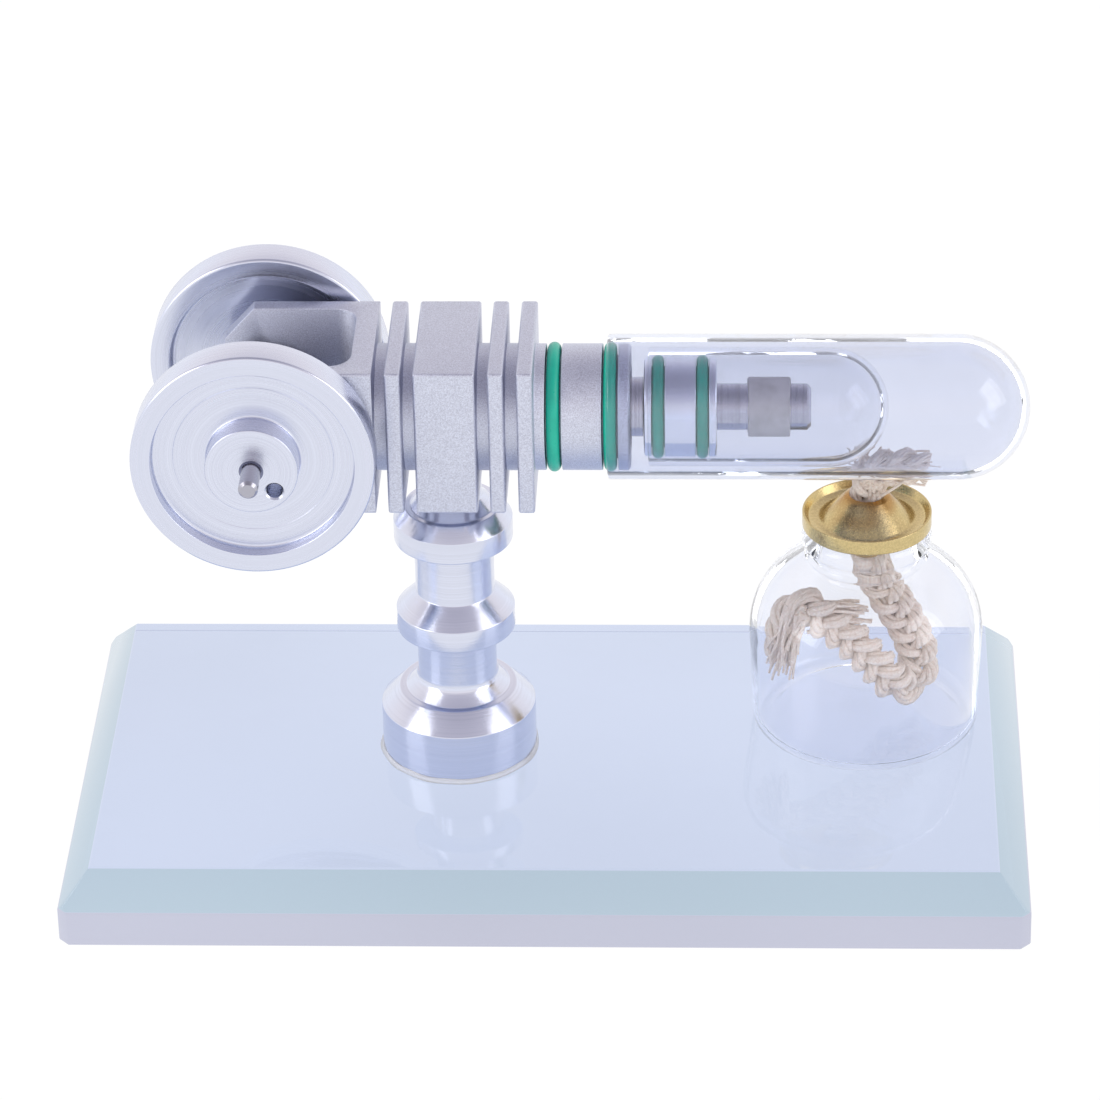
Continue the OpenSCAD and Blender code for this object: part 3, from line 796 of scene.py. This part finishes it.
class STIRLING_OT_flywheels(bpy.types.Operator):
    """Turns both flywheels and drills their hubs"""

    bl_idname = "stirling.flywheels"
    bl_label = "Flywheels"

    def execute(self, context):
        c = colours()
        edge = sizes().wheel_edge / MM
        for side, node in ((-1, "flywheel_front"), (1, "flywheel_rear")):
            low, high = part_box(node)
            foot = Vector(((low.x + high.x) / 2, 0, (low.z + high.z) / 2))
            radius = (high.z - low.z) / 2 / MM
            face = (low.y if side < 0 else high.y) * side / MM
            rim_out = face - 1.6
            rim_in = rim_out - 5.8
            outline = fillet([
                (1.5, 12.05, 0), (2.2, 12.05, 0.1), (2.2, 12.4, 0), (6, 12.4, 0.3), (6, 15.1, 0.5),
                (15.5, 15.1, 0.8), (15.5, rim_in, 0.35), (radius, rim_in, edge), (radius, rim_out, edge),
                (15.5, rim_out, 0.2), (15.5, 16.5, 0.55), (12.3, 16.5, 0.06), (12.2, 16.42, 0.06),
                (7.1, 16.42, 0.45), (7.1, face, 0.25), (1.85, face, 0.1), (1.5, face - 0.35, 0),
            ])
            wheel = lathe(outline, foot, (0, side, 0), sizes().lathe_steps, closed=True)
            metal = turned_metal(
                "turned " + node, tuple(c.aluminium), tuple(c.aluminium_shade), foot, (90, 0, 0),
                0.26, 0.025,
                pitch=9000.0,
            )
            piece = place("turned_" + node, wheel, "crankshaft", metal, [node])
            self.drill(piece, foot, side, face)
        return {"FINISHED"}

    def drill(self, piece, foot, side, face):
        """Cuts the tapped hole in the hub, with its countersunk mouth."""
        throw = 4.8 * MM * math.sin(math.radians(45))
        mouth = foot + Vector((throw, side * face * MM, -throw))
        bm = lathe(
            fillet([(0, -6, 0), (1.25, -6, 0), (1.25, -0.25, 0), (1.55, 0.05, 0), (1.55, 1, 0), (0, 1, 0)]),
            mouth, (0, side, 0), 48,
        )
        mesh = bpy.data.meshes.new("drill")
        bm.to_mesh(mesh)
        bm.free()
        drill = bpy.data.objects.new("drill", mesh)
        bpy.context.scene.collection.objects.link(drill)
        cut = piece.modifiers.new("hole", "BOOLEAN")
        cut.operation = "DIFFERENCE"
        cut.object = drill
        cut.solver = "EXACT"
        bpy.context.view_layer.update()
        drilled = bpy.data.meshes.new_from_object(piece.evaluated_get(bpy.context.evaluated_depsgraph_get()))
        piece.modifiers.clear()
        piece.data = drilled
        bpy.data.objects.remove(drill)
        if len(drilled.polygons) < 100:
            raise RuntimeError("the hub's hole could not be cut")


class STIRLING_OT_shafts(bpy.types.Operator):
    """Finishes the crankshaft, bearings, rods and piston"""

    bl_idname = "stirling.shafts"
    bl_label = "Shafts and rods"

    def execute(self, context):
        c = colours()
        shaft_at = middle("shaft_front")
        ground = turned_metal(
            "ground steel", tuple(c.steel), tuple(c.aluminium_shade), shaft_at, (90, 0, 0), 0.2, 0.12
        )
        coat(
            ground, "post_stud", "bearing_cup_front", "bearing_cup_rear", "bearing_cone_front",
            "bearing_cone_rear", "bearing_balls_front", "bearing_balls_rear", "shaft_front", "shaft_rear",
            "spacer_front", "spacer_rear", "outer_web_front", "outer_web_rear", "inner_web_front",
            "inner_web_rear", "crank_pins", "piston_pins", "power_journals", "displacer_journal",
            "displacer_pin",
        )
        milled = blasted_metal("milled rods", tuple(c.aluminium), tuple(c.aluminium_shade))
        coat(milled, "power_rod_front", "power_rod_rear", "displacer_link", "displacer_clevis")
        axis_at = middle("cylinder_liner")
        honed = turned_metal(
            "honed liner", tuple(c.steel), tuple(c.dark_steel), axis_at, (0, 90, 0), 0.22, 0.15
        )
        coat(honed, "cylinder_liner", "displacer_rod")
        dark = turned_metal(
            "dark turned steel", tuple(c.dark_steel), (0.05, 0.05, 0.06), axis_at, (0, 90, 0), 0.22, 0.2
        )
        coat(dark, "rod_gland")
        stem = turned_metal(
            "polished stem", tuple(c.dark_steel), (0.1, 0.1, 0.12), axis_at, (0, 90, 0), 0.12, 0.08
        )
        coat(stem, "displacer_stem")
        graphite = Finish("ground graphite", Metallic=0.25)
        grain = graphite.group("blast grain", Vector=graphite.place, Scale=3000.0)
        tint = tuple(c.graphite)
        graphite.feed(
            Base_Color=graphite.mix(grain.outputs["Grain"], tuple(v * 0.6 for v in tint), tint),
            Roughness=graphite.span(grain.outputs["Grain"], 0.4, 0.6, 0.3, 0.7),
            Normal=graphite.bump(grain.outputs["Grain"], 0.2, 0.0001),
        )
        coat(graphite.material, "power_piston")
        return {"FINISHED"}


class STIRLING_OT_seals(bpy.types.Operator):
    """Makes the four O-rings, the displacer's plug and the sleeve on its stem"""

    bl_idname = "stirling.seals"
    bl_label = "Seals and plug"

    def execute(self, context):
        c = colours()
        rubber = seal_rubber("seal rubber", tuple(c.seal))
        for node, body in (
            ("spigot_seal_inner", "frame"), ("spigot_seal_outer", "frame"),
            ("displacer_seal_inner", "displacer"), ("displacer_seal_outer", "displacer"),
        ):
            centre = middle(node)
            spread = size(node)
            thick = spread.x / 2 / MM
            outline = [
                Vector((spread.z / 2 - thick * MM, 0)) + Vector((math.cos(a), math.sin(a))) * thick * MM
                for a in (TURN * k / 28 for k in range(28))
            ]
            ring = lathe(outline, centre, (1, 0, 0), sizes().lathe_steps, closed=True)
            place("ring_" + node, ring, body, rubber, [node], crease=60)
        self.plug(c)
        self.sleeve(c)
        return {"FINISHED"}

    def plug(self, c):
        low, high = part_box("displacer_plug")
        foot = Vector((low.x, 0, (low.z + high.z) / 2))
        r = (high.z - low.z) / 2 / MM
        end = (high.x - low.x) / MM
        corners = [(1.5, 3, 0), (5.1, 3, 0), (5.1, 0, 0.1), (r, 0, 0.35)]
        for node in ("displacer_seal_inner", "displacer_seal_outer"):
            at = (middle(node).x - low.x) / MM
            corners += [(r, at - 1, 0.12), (6.15, at - 1, 0.2), (6.15, at + 1, 0.2), (r, at + 1, 0.12)]
        corners += [(r, end, 0.35), (0, end, 0)]
        outline = fillet(corners[:-1] + [(1.5, end, 0)])
        metal = turned_metal(
            "polished plug", (0.93, 0.95, 1.0), tuple(c.aluminium), foot, (0, 90, 0), 0.14, 0.15
        )
        place("turned_plug", lathe(outline, foot, (1, 0, 0), sizes().lathe_steps, closed=True), "displacer",
              metal, ["displacer_plug"])

    def sleeve(self, c):
        low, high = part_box("stem_sleeve")
        foot = Vector((low.x, 0, (low.z + high.z) / 2))
        long = (high.x - low.x) / MM
        outer = (high.z - low.z) / 2 / MM
        outline = fillet([(3.6, 0, 0), (outer, 0, 0.25), (outer, long, 0.25), (3.6, long, 0)])
        bm = lathe(outline, foot, (1, 0, 0), 96, closed=True)
        rng = random.Random(9)
        waves = [(rng.randint(2, 9), rng.uniform(0, TURN)) for _ in range(5)]
        for vert in bm.verts:
            around = vert.co - foot
            angle = math.atan2(around.z, around.y)
            lump = sum(math.sin(k * angle + start) for k, start in waves) / len(waves)
            edge = 1 if around.x > long * MM / 2 else -1
            vert.co.x -= edge * (0.2 + 0.2 * lump) * MM
        place("silicone_sleeve", bm, "displacer",
              sleeve_silicone("cloudy silicone", tuple(c.sleeve)), ["stem_sleeve"])


class STIRLING_OT_tubes(bpy.types.Operator):
    """Blows the hot tube and the displacer's tube"""

    bl_idname = "stirling.tubes"
    bl_label = "Glass tubes"

    def execute(self, context):
        c = colours()
        for name, node, body, wall, tint in (
            ("blown_hot_tube", "hot_tube", "frame", 1.25, c.glass),
            ("blown_displacer_tube", "displacer_tube", "displacer", 1.2, c.inner_glass),
        ):
            glass = clear_glass(name.replace("_", " "), tuple(tint), 0.015, ior=1.06)
            low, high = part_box(node)
            foot = Vector((low.x, 0, (low.z + high.z) / 2))
            r = (high.z - low.z) / 2 / MM
            long = (high.x - low.x) / MM
            inner = r - wall
            turn = long - r
            corners = bow((0, turn), (inner, inner), 90, 0, 24)
            corners += [(inner, 0, 0.5), (r, 0, 0.5)]
            corners += bow((0, turn), (r, r), 0, 90, 24)
            place(name, lathe(fillet(corners), foot, (1, 0, 0), sizes().lathe_steps), body,
                  glass, [node], crease=80)
        return {"FINISHED"}


class STIRLING_OT_lamp(bpy.types.Operator):
    """Blows the lamp's bottle and turns its brass wick holder"""

    bl_idname = "stirling.lamp"
    bl_label = "Spirit lamp"

    def execute(self, context):
        low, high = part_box("lamp_bottle")
        foot = Vector(((low.x + high.x) / 2, (low.y + high.y) / 2, low.z))
        c = colours()
        glass = clear_glass("bottle glass", tuple(c.bottle), 0.05, ior=1.06)
        r = (high.x - low.x) / 2 / MM
        outer = [(0, 1.3, 0), (8, 1.1, 0), (14.2, 0.7, 0.5)]
        outer += bow((16, 2.12), (2, 2), 255, 350, 10)
        outer += bow((9, 16.5), (r - 9, 12), 0, 80, 24)
        outer += [(9.3, 28.9, 0.3), (9, 29.5, 0.2)]
        outer += bow((8.9, 30.6), (0.9, 0.8), -60, 60, 8)
        outer += bow((8.4, 33.5), (1.9, 1.9), -50, 75, 12)
        outer += [(8.2, 35.5, 0.2), (7.6, 34.9, 0.4), (7.6, 29, 0.4)]
        inner = bow((7.4, 16.5), (r - 1.2 - 7.4, 11), 75, 0, 24)
        inner += bow((15.6, 2.6), (1.6, 1.6), -5, -80, 8)
        inner += [(14.2, 1.35, 0.5), (8, 1.75, 0), (0, 1.95, 0)]
        place("blown_bottle", lathe(fillet(outer + inner), foot, UP, sizes().lathe_steps), "lamp",
              glass, ["lamp_bottle"], crease=80)
        holder = fillet([
            (2.85, 30.8, 0), (3.4, 30.8, 0.15), (3.4, 35.5, 0.1), (10.15, 35.5, 0.3), (10.15, 38, 0.12),
            (9.85, 38, 0.1), (9.2, 36.75, 0.7), (7.6, 36.25, 1.3), (3.6, 40.6, 0.8), (2.85, 41, 0.1),
        ])
        brass = stained_brass("stained brass", tuple(c.brass), tuple(c.brass_stain), foot)
        place("brass_holder", lathe(holder, foot, UP, sizes().lathe_steps, closed=True), "lamp",
              brass, ["wick_holder"])
        return {"FINISHED"}


def smooth_route(foot, step):
    """Evenly spaced (point, radius, distance) along a smooth curve through the wick's route."""
    route = [Vector(p) for p in WICK_ROUTE]
    padded = [route[0]] + route + [route[-1]]
    dense = []
    for a, b, c, d in zip(padded, padded[1:], padded[2:], padded[3:]):
        for k in range(24):
            t = k / 24
            dense.append(0.5 * (2 * b + (c - a) * t + (2 * a - 5 * b + 4 * c - d) * t * t
                                + (3 * b - a - 3 * c + d) * t * t * t))
    dense.append(route[-1])
    out = []
    gone = 0.0
    due = 0.0
    for here, there in zip(dense, dense[1:]):
        run = (there.xyz - here.xyz).length
        while due <= gone + run:
            mixed = here.lerp(there, (due - gone) / run)
            out.append((foot + mixed.xyz * MM, mixed.w, due * MM))
            due += step
        gone += run
    return out


class STIRLING_OT_wick(bpy.types.Operator):
    """Plaits the cotton wick and frays both its ends"""

    bl_idname = "stirling.wick"
    bl_label = "Wick"

    def execute(self, context):
        low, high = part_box("lamp_bottle")
        foot = Vector(((low.x + high.x) / 2, (low.y + high.y) / 2, low.z))
        line = smooth_route(foot, 0.45)
        cotton = cotton_yarn("braided cotton", tuple(colours().cotton), tuple(colours().cotton_shade))
        braid = self.plait(line)
        braid_piece = place("wick_braid", yarns("wick_braid", braid, sizes().yarn), "lamp",
                            cotton, ["wick"], crease=80)
        tuft = place("wick_tuft", yarns("wick_tuft", self.tuft(foot), 0.3 * MM), "lamp",
                     cotton, crease=80)
        fray = place("wick_fray", yarns("wick_fray", self.fray(foot), 0.36 * MM), "lamp",
                     cotton, crease=80)
        return {"FINISHED"}

    def plait(self, line):
        """Three bundles of seven yarns that pass over and under each other."""
        turn = sizes().plait_turn
        bundles = []
        frames = []
        for i, (spot, radius, gone) in enumerate(line):
            ahead = line[min(i + 1, len(line) - 1)][0]
            behind = line[max(i - 1, 0)][0]
            along = (ahead - behind).normalized()
            across = (Vector((0, 1, 0)) - along * along.y).normalized()
            frames.append((spot, radius / 3.3, gone, along.cross(across), across))
        for strand in range(3):
            for yarn in range(7):
                points = []
                for spot, fit, gone, wide, deep in frames:
                    phase = TURN * (gone / turn + strand / 3)
                    centre = wide * 2.1 * math.sin(phase) + deep * 1.05 * math.sin(2 * phase)
                    twist = TURN * (gone / (0.8 * turn) + yarn / 6)
                    apart = 0 if yarn == 6 else 0.9
                    bundle = (wide * math.cos(twist) + deep * math.sin(twist)) * apart
                    points.append((spot + (centre + bundle) * fit * MM, fit))
                bundles.append(points)
        return bundles

    def tuft(self, foot):
        """Loose burning end that leans to the right."""
        rng = random.Random(21)
        lines = []
        for _ in range(90):
            start = Vector((rng.uniform(-1.2, 2.6), rng.uniform(-1.9, 1.9), rng.uniform(41.2, 45)))
            lean = rng.uniform(-0.25, 1.0)
            end = Vector((
                start.x + 10.5 * lean * rng.uniform(0.7, 1.0), start.y * 1.5 + rng.uniform(-1, 1),
                rng.uniform(43.6, 48.6),
            ))
            mid = start.lerp(end, 0.5) + Vector((0, rng.uniform(-0.6, 0.6), rng.uniform(0.2, 1.6)))
            lines.append(self.bend(foot, start, mid, end, rng, 48.9))
        return lines

    def fray(self, foot):
        """Cut end whose yarns fall apart and hang down."""
        rng = random.Random(33)
        lines = []
        for _ in range(80):
            start = Vector((rng.uniform(-12.6, -9.4), rng.uniform(-5.6, -1.6), rng.uniform(19.5, 23.6)))
            end = Vector((
                rng.uniform(-15.8, -10.8), start.y + rng.uniform(-1, 1.6), rng.uniform(9.8, 16.5),
            ))
            mid = start.lerp(end, 0.45) + Vector((rng.uniform(-1.0, 0.2), rng.uniform(-0.5, 0.5), 0.8))
            lines.append(self.bend(foot, start, mid, end, rng, 24.5))
        for _ in range(34):
            start = Vector((rng.uniform(-10, -6.5), rng.uniform(-4.8, -2.2), rng.uniform(18.2, 22.6)))
            end = Vector((
                rng.uniform(-3.5, 1.2), start.y + rng.uniform(-0.6, 0.8), start.z + rng.uniform(-1, 1.6),
            ))
            mid = start.lerp(end, 0.5) + Vector((0, 0, rng.uniform(0.2, 1.1)))
            lines.append(self.bend(foot, start, mid, end, rng, 24.5))
        return lines

    def bend(self, foot, start, mid, end, rng, ceiling):
        """One yarn through three points, with a little waviness and a thin tip."""
        points = []
        sway = rng.uniform(0, TURN)
        for k in range(11):
            t = k / 10
            spot = start * (1 - t) ** 2 + mid * 2 * t * (1 - t) + end * t * t
            wave = Vector((math.sin(7 * t + sway), math.cos(6 * t + sway), math.sin(5 * t + sway)))
            spot += wave * 0.18 * t
            spot.z = min(spot.z, ceiling)
            points.append((foot + spot * MM, 1 - 0.45 * t))
        return points


class STIRLING_PT_panel(bpy.types.Panel):
    """Lists the pieces and their settings"""

    bl_label = "Stirling engine"
    bl_idname = "STIRLING_PT_panel"
    bl_space_type = "VIEW_3D"
    bl_region_type = "UI"
    bl_category = "Stirling"

    def draw(self, context):
        scene = context.scene
        for group in (scene.engine_sizes, scene.engine_colours, scene.stage_settings):
            column = self.layout.column(align=True)
            for name in group.__annotations__:
                column.prop(group, name)
        for operator in OPERATORS:
            self.layout.operator(operator.bl_idname)


OPERATORS = (
    STIRLING_OT_stage, STIRLING_OT_wick, STIRLING_OT_plate, STIRLING_OT_post, STIRLING_OT_block,
    STIRLING_OT_flywheels, STIRLING_OT_shafts, STIRLING_OT_seals, STIRLING_OT_tubes, STIRLING_OT_lamp,
)
CLASSES = (EngineSizes, EngineColours, StageSettings, *OPERATORS, STIRLING_PT_panel)


def register():
    for cls in CLASSES:
        bpy.utils.register_class(cls)
    bpy.types.Scene.engine_sizes = PointerProperty(type=EngineSizes)
    bpy.types.Scene.engine_colours = PointerProperty(type=EngineColours)
    bpy.types.Scene.stage_settings = PointerProperty(type=StageSettings)


def unregister():
    del bpy.types.Scene.engine_sizes
    del bpy.types.Scene.engine_colours
    del bpy.types.Scene.stage_settings
    for cls in reversed(CLASSES):
        bpy.utils.unregister_class(cls)


def main():
    register()
    for build in (build_turned_rings, build_blast_grain, build_smudges):
        build()
    for operator in OPERATORS:
        group, name = operator.bl_idname.split(".")
        getattr(getattr(bpy.ops, group), name)()


if __name__ == "__main__":
    main()
